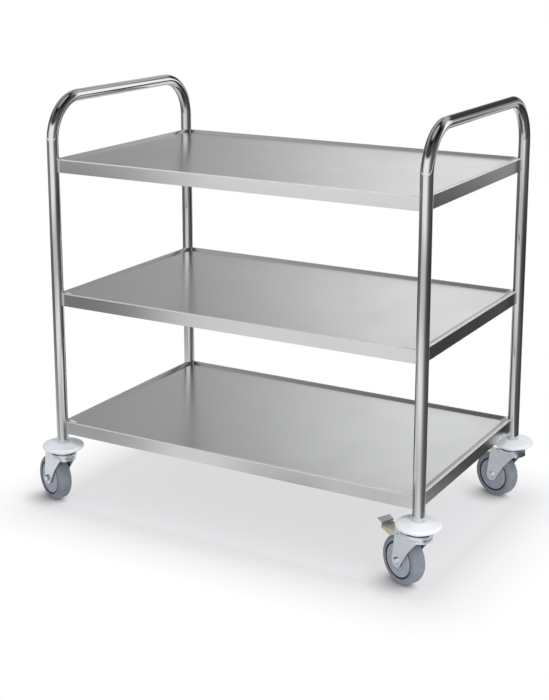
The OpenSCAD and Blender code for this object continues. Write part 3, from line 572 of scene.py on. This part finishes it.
def turned(corners, closed=True, steps=72):
    """A piece turned about Z from corners of (radius, height, rounding)."""
    bm = bmesh.new()
    line = draw_line(bm, corners, closed)
    bmesh.ops.spin(bm, geom=bm.verts[:] + line, cent=(0, 0, 0), axis=(0, 0, 1), dvec=(0, 0, 0),
                   angle=2 * math.pi, steps=steps, use_merge=True, use_duplicate=False)
    bmesh.ops.remove_doubles(bm, verts=bm.verts, dist=0.001)
    bmesh.ops.recalc_face_normals(bm, faces=bm.faces)
    return bm


def placed(bm, *moves):
    """Moves a whole mesh by the matrices in turn."""
    for move in moves:
        bmesh.ops.transform(bm, matrix=move, verts=bm.verts)
    return bm


for corner in castors:
    bm = turned([(stem_hole_r, bumper_bottom, 0), (30, bumper_bottom, 1.2), (bumper_r, 131.25, 4.4),
                 (bumper_r, 137.85, 4.4), (15.5, bumper_top, 1.5), (stem_hole_r, bumper_top, 0)], steps=128)
    new_piece(corner + "_bumper_moulding", placed(bm, castor_place(corner)), white_rubber, "frame",
              [corner + "_bumper"], sharp=50)

# Castor stems
# A threaded zinc stem rises from each castor into a plastic expander that grips the tube's bore. The upper
# raceway is pressed on it under the bumper, the lower one sits on its head under the fork's crown.

# Moulded dark polypropylene: blue-black and half matt, with dust in patches 12 mm across. The mould's grain
# is 0.1 mm, too fine to show, so it is drawn 2 mm wide.
dark_plastic, tree = new_material("moulded_dark_polypropylene")
place = add(tree, "ShaderNodeTexCoord")
skin = add(tree, "ShaderNodeTexNoise", {"Vector": place.outputs["Object"], "Scale": 1 / (2 * mm),
                                        "Detail": 2.0})
dust = add(tree, "ShaderNodeTexNoise", {"Vector": place.outputs["Object"], "Scale": 1 / (12 * mm),
                                        "Detail": 4.0})
tint = add(tree, "ShaderNodeValToRGB", {"Fac": dust.outputs["Fac"]},
           stops=[(0.3, hex_colour("#1C1F29")), (0.7, hex_colour("#282C37"))])
relief = add(tree, "ShaderNodeBump", {"Strength": 0.2, "Distance": 0.0001, "Height": skin.outputs["Fac"]})
plastic = add(tree, "ShaderNodeBsdfPrincipled", {"Base Color": tint.outputs["Color"], "Roughness": 0.5,
                                                 "Normal": relief.outputs[0]})
add(tree, "ShaderNodeOutputMaterial", {"Surface": plastic.outputs[0]})
finish_node("stem_expanders", dark_plastic)
finish_node("castor_stems", zinc_plate)
finish_node("lower_raceways", zinc_plate)

raceway_r = 24
raceway_seat = 120.5
raceway_lip = 119

for corner in castors:
    bm = turned([(stem_hole_r, raceway_seat, 0), (22.5, raceway_seat, 0), (22.5, raceway_lip, 0.3),
                 (raceway_r, raceway_lip, 0.3), (raceway_r, bumper_bottom, 0.6),
                 (stem_hole_r, bumper_bottom, 0)])
    new_piece(corner + "_upper_raceway", placed(bm, castor_place(corner)), zinc_plate, "frame",
              ["upper_raceways"])

# Forks
# Each fork is pressed from 2.5 mm steel: two legs and a skirt, folded down from a crown whose raised ring
# holds the upper balls. Bright zinc plate gives it a clouded blue-white shine.
leg_x = 40
axle_z = 50
leg_out = 20.5
leg_end_r = 13
leg_top = 116.4
leg_back_x = 46
fork_t = 2.5
axle_hole_r = 4.05
pin_x = 37
pin_z = 104.5
pin_hole_r = 2.55
crown_r = 28.5
crown_corner_r = 16
crown_top = 116.5
skirt_h = 10.5
skirt_back_z = 111
crown_fold_r = 4
ring_hole_r = 5.06
ring_in_r = 26
ring_bottom = 113.4
ring_floor = 116.6
ring_top = 119.4
front_curve_r = 250
front_slant = math.radians(28)
front_curve_x = leg_x - (front_curve_r + leg_end_r) * math.cos(front_slant)
front_curve_z = axle_z - (front_curve_r + leg_end_r) * math.sin(front_slant)


def filled(bm, line, holes=()):
    """Fills a flat line in the XZ plane, with round holes of (x, z, radius) left open."""
    for x, z, radius in holes:
        spot = Matrix.Translation((x, 0, z)) @ Matrix.Rotation(math.pi / 2, 4, "X")
        ring = bmesh.ops.create_circle(bm, segments=32, radius=radius, matrix=spot)
        line = line + list({edge for vert in ring["verts"] for edge in vert.link_edges})
    bmesh.ops.triangle_fill(bm, use_beauty=True, use_dissolve=False, edges=line)


def nearest_edge(bm, point):
    """The edge whose middle is nearest to a point."""
    return min(bm.edges, key=lambda edge: ((edge.verts[0].co + edge.verts[1].co) / 2 - Vector(point)).length)


def gathered(*parts):
    """One mesh from several."""
    whole = bmesh.new()
    for part in parts:
        mesh = bpy.data.meshes.new("part")
        part.to_mesh(mesh)
        part.free()
        whole.from_mesh(mesh)
        bpy.data.meshes.remove(mesh)
    return whole


def walled(bm, thickness):
    """Gives an open sheet its thickness, inwards from the face it shows."""
    bmesh.ops.remove_doubles(bm, verts=bm.verts, dist=0.001)
    bmesh.ops.solidify(bm, geom=bm.faces[:], thickness=thickness)
    return bm


def front_curve_height(x):
    """Height of the curve that the legs' front edges follow up to the skirt."""
    return front_curve_z + math.sqrt(front_curve_r ** 2 - (x - front_curve_x) ** 2)


def fork_leg(braked):
    """The flat of one leg at +Y, with the holes for the axle and the brake's pin."""
    corner_x = crown_corner_r - crown_r
    corner_z = front_curve_height(corner_x)
    bm = bmesh.new()
    draw_line(bm, [(corner_x, corner_z, 0), (crown_r, skirt_back_z, 0), (29.3, 112.5, 0),
                   (29.3, leg_top, 0.5), (leg_back_x, leg_top, 2), (leg_back_x, 101.5, 8),
                   (leg_x + leg_end_r, axle_z, 0)], closed=False)
    heel = min(bm.verts, key=lambda vert: vert.co.z)
    end = bmesh.ops.spin(bm, geom=[heel], cent=(leg_x, 0, axle_z), axis=(0, 1, 0), dvec=(0, 0, 0), steps=24,
                         angle=math.pi - front_slant, use_merge=False, use_duplicate=False)["geom_last"]
    toe = [part for part in end if isinstance(part, bmesh.types.BMVert)]
    rise = math.atan2(corner_z - front_curve_z, corner_x - front_curve_x) - front_slant
    bmesh.ops.spin(bm, geom=toe, cent=(front_curve_x, 0, front_curve_z), axis=(0, -1, 0), dvec=(0, 0, 0),
                   steps=16, angle=rise, use_merge=False, use_duplicate=False)
    bmesh.ops.remove_doubles(bm, verts=bm.verts, dist=0.01)
    pin_hole = [(pin_x, pin_z, pin_hole_r)] if braked else []
    filled(bm, bm.edges[:], [(leg_x, axle_z, axle_hole_r)] + pin_hole)
    bmesh.ops.translate(bm, verts=bm.verts, vec=(0, leg_out, 0))
    return bm


def fork_crown():
    """The crown's plate, and the skirt that is folded down round its front into the legs."""
    bm = bmesh.new()
    rim = draw_line(bm, [(crown_r, leg_out, 0), (-crown_r, leg_out, crown_corner_r),
                         (-crown_r, -leg_out, crown_corner_r), (crown_r, -leg_out, 0)], closed=False)
    placed(bm, Matrix.Translation((0, 0, crown_top)) @ Matrix.Rotation(math.pi / 2, 4, "X"))
    bmesh.ops.contextual_create(bm, geom=rim)
    for edge in stretch(bm, rim, (0, 0, -skirt_h)):
        for vert in edge.verts:
            front_z = min(crown_top - skirt_h, front_curve_height(vert.co.x))
            vert.co.z = skirt_back_z if vert.co.x > 0 else front_z
    bmesh.ops.bevel(bm, geom=[edge for edge in rim if edge.is_valid], offset=crown_fold_r,
                    offset_type="OFFSET", segments=6, profile=0.5, affect="EDGES", material=-1)
    return bm


for corner in castors:
    braked = corner in ("front_right", "back_left")
    far_leg = placed(fork_leg(braked), Matrix.Scale(-1, 4, (0, 1, 0)))
    sheet = gathered(fork_leg(braked), far_leg, fork_crown())
    bmesh.ops.remove_doubles(sheet, verts=sheet.verts, dist=0.01)
    faced_up(sheet)
    ball_ring = turned([(ring_hole_r, ring_bottom, 0), (crown_r, ring_bottom, 0.5), (crown_r, ring_top, 1),
                        (ring_in_r, ring_top, 1), (ring_in_r, ring_floor, 0.8),
                        (ring_hole_r, ring_floor, 0)], steps=96)
    bm = gathered(walled(sheet, fork_t), ball_ring)
    fork = new_piece(corner + "_pressed_fork", placed(bm, castor_place(corner)), zinc_plate,
                     corner + "_swivel", [corner + "_fork"], sharp=30)
    edge = fork.modifiers.new("pressed_edge", "BEVEL")
    edge.width = 0.35 * mm
    edge.segments = 2
    edge.limit_method = "ANGLE"
    edge.angle_limit = math.radians(40)

# Swivel bearings and axles
# Two rows of polished balls carry each fork. An 8 mm hexagon bolt clamps a steel sleeve between the legs,
# and the wheel turns on the sleeve.

# Polished bearing steel: a clear grey mirror, dulled in spots where it has run. They are 0.3 mm wide, too
# fine to show, so they are drawn 2 mm wide.
ball_steel, tree = new_material("polished_bearing_steel")
place = add(tree, "ShaderNodeTexCoord")
wear = add(tree, "ShaderNodeTexNoise", {"Vector": place.outputs["Object"], "Scale": 1 / (2 * mm),
                                        "Detail": 2.0})
gloss = add(tree, "ShaderNodeMapRange", {"Value": wear.outputs["Fac"], "To Min": 0.06, "To Max": 0.2})
metal = add(tree, "ShaderNodeBsdfPrincipled", {"Base Color": hex_colour("#B4B6BA"), "Metallic": 1.0,
                                               "Roughness": gloss.outputs[0]})
add(tree, "ShaderNodeOutputMaterial", {"Surface": metal.outputs[0]})

across = Matrix.Translation((leg_x, 0, axle_z)) @ Matrix.Rotation(-math.pi / 2, 4, "X")
bolt_r = 4
hexagon_r = 7.44
head_top = 25.3
nut_end = -28.1
bolt_end = -30.1

for corner in castors:
    swivel = corner + "_swivel"
    finish_node(corner + "_bearing_balls", ball_steel)
    finish_node(corner + "_axle_sleeve", ball_steel)
    head = turned([(3.9, leg_out, 0), (hexagon_r, leg_out, 0), (hexagon_r, 24.6, 0.9),
                   (6.2, head_top, 0.5), (0, head_top, 0)], closed=False, steps=6)
    bmesh.ops.holes_fill(head, edges=head.edges, sides=6)
    shank = turned([(0, bolt_end, 0), (bolt_r, bolt_end, 0.8), (bolt_r, 21, 0), (0, 21, 0)], closed=False,
                   steps=32)
    bm = placed(gathered(head, shank), across, castor_place(corner))
    new_piece(corner + "_hexagon_bolt", bm, zinc_plate, swivel, [corner + "_axle_bolt"],
              sharp=25)
    bm = turned([(axle_hole_r, nut_end, 0), (6, nut_end, 0.4), (hexagon_r, -27.3, 0.5),
                 (hexagon_r, -leg_out, 0), (axle_hole_r, -leg_out, 0)], steps=6)
    new_piece(corner + "_hexagon_nut", placed(bm, across, castor_place(corner)), zinc_plate, swivel,
              [corner + "_axle_nut"], sharp=25)

# Wheels
# A dark moulded centre carries a solid grey rubber tyre with rounded shoulders. A round grey nylon cover
# on each side keeps threads out of the axle, and a rim of the dark centre shows round it.

# Grey non-marking tyre rubber: cool grey and matt, with paler dusty patches 22 mm across. The mould's grain
# is 0.2 mm, too fine to show, so it is drawn 2.5 mm wide.
tyre_rubber, tree = new_material("grey_non_marking_tyre_rubber")
place = add(tree, "ShaderNodeTexCoord")
dirt = add(tree, "ShaderNodeTexNoise", {"Vector": place.outputs["Object"], "Scale": 1 / (22 * mm),
                                        "Detail": 6.0})
skin = add(tree, "ShaderNodeTexNoise", {"Vector": place.outputs["Object"], "Scale": 1 / (2.5 * mm),
                                        "Detail": 2.0})
tint = add(tree, "ShaderNodeValToRGB", {"Fac": dirt.outputs["Fac"]},
           stops=[(0.3, hex_colour("#7F848C")), (0.5, hex_colour("#8E949D")), (0.75, hex_colour("#969CA4"))])
relief = add(tree, "ShaderNodeBump", {"Strength": 0.3, "Distance": 0.00015, "Height": skin.outputs["Fac"]})
rubber = add(tree, "ShaderNodeBsdfPrincipled", {"Base Color": tint.outputs["Color"], "Roughness": 0.58,
                                                "Normal": relief.outputs[0]})
add(tree, "ShaderNodeOutputMaterial", {"Surface": rubber.outputs[0]})

# Moulded grey nylon: smooth, pale and faintly shiny, with the cloudy flow marks of moulding, 8 mm across.
nylon, tree = new_material("moulded_grey_nylon")
place = add(tree, "ShaderNodeTexCoord")
flow = add(tree, "ShaderNodeTexNoise", {"Vector": place.outputs["Object"], "Scale": 1 / (8 * mm),
                                        "Detail": 3.0})
tint = add(tree, "ShaderNodeValToRGB", {"Fac": flow.outputs["Fac"]},
           stops=[(0.3, hex_colour("#A7ADB8")), (0.7, hex_colour("#B6BCC7"))])
relief = add(tree, "ShaderNodeBump", {"Strength": 0.1, "Distance": 0.0001, "Height": flow.outputs["Fac"]})
plastic = add(tree, "ShaderNodeBsdfPrincipled", {"Base Color": tint.outputs["Color"], "Roughness": 0.42,
                                                 "Normal": relief.outputs[0]})
add(tree, "ShaderNodeOutputMaterial", {"Surface": plastic.outputs[0]})

tyre_r = 49.99
tyre_side = 16
tyre_bore_r = 38
tyre_round = 8.9
hub_bore_r = 6.06
hub_r = 12
hub_side = 17
web_side = 3
seat_in_r = 31.2
seat_out_r = 34.2
seat_side = 12.5
centre_side = 14.3
cover_bore_r = 12.3
cover_r = 34.1
cover_side = 15.5
cover_dish_side = 15.1

for corner in castors:
    wheel = corner + "_wheel"
    bm = turned([(tyre_bore_r, -tyre_side, 0.6), (tyre_r, -tyre_side, tyre_round),
                 (tyre_r, tyre_side, tyre_round), (tyre_bore_r, tyre_side, 0.6)], steps=128)
    new_piece(corner + "_rubber_tyre", placed(bm, across, castor_place(corner)), tyre_rubber, wheel,
              [corner + "_tyre"], sharp=60)
    side_line = [(hub_bore_r, -hub_side, 0), (hub_r, -hub_side, 0.4), (hub_r, -web_side, 0),
                 (seat_in_r, -web_side, 0), (seat_in_r, -seat_side, 0), (seat_out_r, -seat_side, 0),
                 (seat_out_r, -centre_side, 0.3), (tyre_bore_r, -centre_side, 0.3)]
    other_side = [(radius, -height, rounding) for radius, height, rounding in reversed(side_line)]
    bm = turned(side_line + other_side, steps=96)
    new_piece(corner + "_moulded_centre", placed(bm, across, castor_place(corner)), dark_plastic, wheel,
              [corner + "_wheel_centre"])
    covers = []
    for side in (1, -1):
        cover_line = [(cover_bore_r, seat_side, 0), (cover_r, seat_side, 0), (cover_r, 14.6, 0.4),
                      (33, cover_side, 0.6), (28.6, cover_side, 0.3), (28, cover_dish_side, 0.3),
                      (17, cover_dish_side, 0.3), (16.2, cover_side, 0.3), (cover_bore_r, cover_side, 0.3)]
        covers.append(turned([(radius, height * side, rounding) for radius, height, rounding in cover_line],
                             steps=96))
    bm = placed(gathered(*covers), across, castor_place(corner))
    new_piece(corner + "_axle_covers", bm, nylon, wheel, [corner + "_thread_guards"],
              sharp=30)

# Brakes
# A yellow passivated channel tips on a pin through the fork's legs and presses a shoe on the tyre. Its
# zinc plated foot pad is a bent plate held by a rivet.

# Yellow passivated zinc: a thin chromate film, half matt, that turns from straw through pale green to faint
# pink in clouds 9 mm across. The pits are 0.2 mm wide, too fine to show, so they are drawn 2.5 mm wide.
yellow_zinc, tree = new_material("yellow_passivated_zinc_plate")
place = add(tree, "ShaderNodeTexCoord")
clouds = add(tree, "ShaderNodeTexNoise", {"Vector": place.outputs["Object"], "Scale": 1 / (9 * mm),
                                          "Detail": 3.0})
pits = add(tree, "ShaderNodeTexNoise", {"Vector": place.outputs["Object"], "Scale": 1 / (2.5 * mm),
                                        "Detail": 2.0})
tint = add(tree, "ShaderNodeValToRGB", {"Fac": clouds.outputs["Fac"]},
           stops=[(0.34, hex_colour("#D3CDA0")), (0.44, hex_colour("#E3E2C4")),
                  (0.52, hex_colour("#D6DAC6")), (0.6, hex_colour("#DCCFC4")),
                  (0.72, hex_colour("#E6E0CE"))])
relief = add(tree, "ShaderNodeBump", {"Strength": 0.12, "Distance": 0.0002, "Height": pits.outputs["Fac"]})
metal = add(tree, "ShaderNodeBsdfPrincipled", {"Base Color": tint.outputs["Color"], "Metallic": 0.35,
                                               "Roughness": 0.34, "Normal": relief.outputs[0]})
add(tree, "ShaderNodeOutputMaterial", {"Surface": metal.outputs[0]})

channel_t = 1.5
channel_y = 17.5
web_fold_r = 2
lever_back_x = 31.5
lever_end_x = 90
lever_end_z = 101
web_back = Vector((33.5, channel_y, 112.5))
web_front = Vector((lever_end_x, channel_y, 104))
web_w = 2 * (channel_y - web_fold_r)
pad_w = 30
pad_tip_x = 104
pin_r = 2.5
pin_head_r = 4
pin_half = 22
rivet_r = 2.2

for corner in ("front_right", "back_left"):
    swivel = corner + "_swivel"
    brake = corner + "_brake"
    finish_node(corner + "_brake_shoe", yellow_zinc)
    pin = turned([(0, -pin_half, 0), (pin_head_r, -pin_half, 1), (pin_head_r, -leg_out, 0),
                  (pin_r, -leg_out, 0), (pin_r, leg_out, 0), (pin_head_r, leg_out, 0),
                  (pin_head_r, pin_half, 1), (0, pin_half, 0)], closed=False, steps=32)
    pin_place = Matrix.Translation((pin_x, 0, pin_z)) @ Matrix.Rotation(-math.pi / 2, 4, "X")
    new_piece(corner + "_riveted_pivot", placed(pin, pin_place, castor_place(corner)), zinc_plate, swivel,
              [corner + "_brake_pivot_pin"])
    web_slope = math.atan2(web_front.z - web_back.z, web_front.x - web_back.x)
    drop = web_fold_r * Vector((math.sin(web_slope), 0, -math.cos(web_slope)))
    back = web_back + drop
    front = web_front + drop
    sides = []
    for y in (channel_y, -channel_y):
        bm = bmesh.new()
        line = draw_line(bm, [(lever_back_x, 100.5, 0), (lever_back_x, 108.8, 0), (back.x, back.z, 0),
                              (front.x, front.z, 0), (lever_end_x, lever_end_z, 0), (63, 93.5, 2),
                              (52, 98.5, 4)])
        filled(bm, line, [(pin_x, pin_z, 2.8)])
        bmesh.ops.translate(bm, verts=bm.verts, vec=(0, y, 0))
        sides.append(bm)
    bm = gathered(*sides)
    fold = nearest_edge(bm, (back + front) / 2)
    inside = back - Vector((0, web_fold_r, 0))
    fold = swing(bm, [fold], inside, front - back, math.pi / 2, 6)
    fold = stretch(bm, fold, (0, -web_w, 0))
    swing(bm, fold, inside - Vector((0, web_w, 0)), front - back, math.pi / 2, 6)
    bmesh.ops.remove_doubles(bm, verts=bm.verts, dist=0.01)
    faced_up(bm)
    bm = placed(walled(bm, channel_t), castor_place(corner))
    new_piece(corner + "_brake_channel", bm, yellow_zinc, brake, [corner + "_brake_lever"],
              sharp=30)
    bm = bmesh.new()
    line = draw_line(bm, [(lever_end_x, lever_end_z, 0), (91.5, lever_end_z, 0), (91.5, 109.5, 1.5),
                          (pad_tip_x, 114.5, 0), (pad_tip_x, 116, 0.4), (lever_end_x, 111, 3)])
    filled(bm, line)
    whole = bmesh.ops.extrude_face_region(bm, geom=bm.faces[:])["geom"]
    moved = [part for part in whole if isinstance(part, bmesh.types.BMVert)]
    bmesh.ops.translate(bm, verts=moved, vec=(0, pad_w, 0))
    bmesh.ops.translate(bm, verts=bm.verts, vec=(0, -pad_w / 2, 0))
    bmesh.ops.recalc_face_normals(bm, faces=bm.faces)
    rivet = turned([(0, -1, 0), (rivet_r, -1, 0), (rivet_r, 2.5, 0.8), (0, 2.5, 0)], closed=False, steps=32)
    rivet_place = Matrix.Translation((lever_end_x, -10, 107)) @ Matrix.Rotation(math.pi / 2, 4, "Y")
    bm = placed(gathered(bm, placed(rivet, rivet_place)), castor_place(corner))
    new_piece(corner + "_bent_foot_pad", bm, zinc_plate, brake, [corner + "_brake_foot_pad"],
              sharp=30)
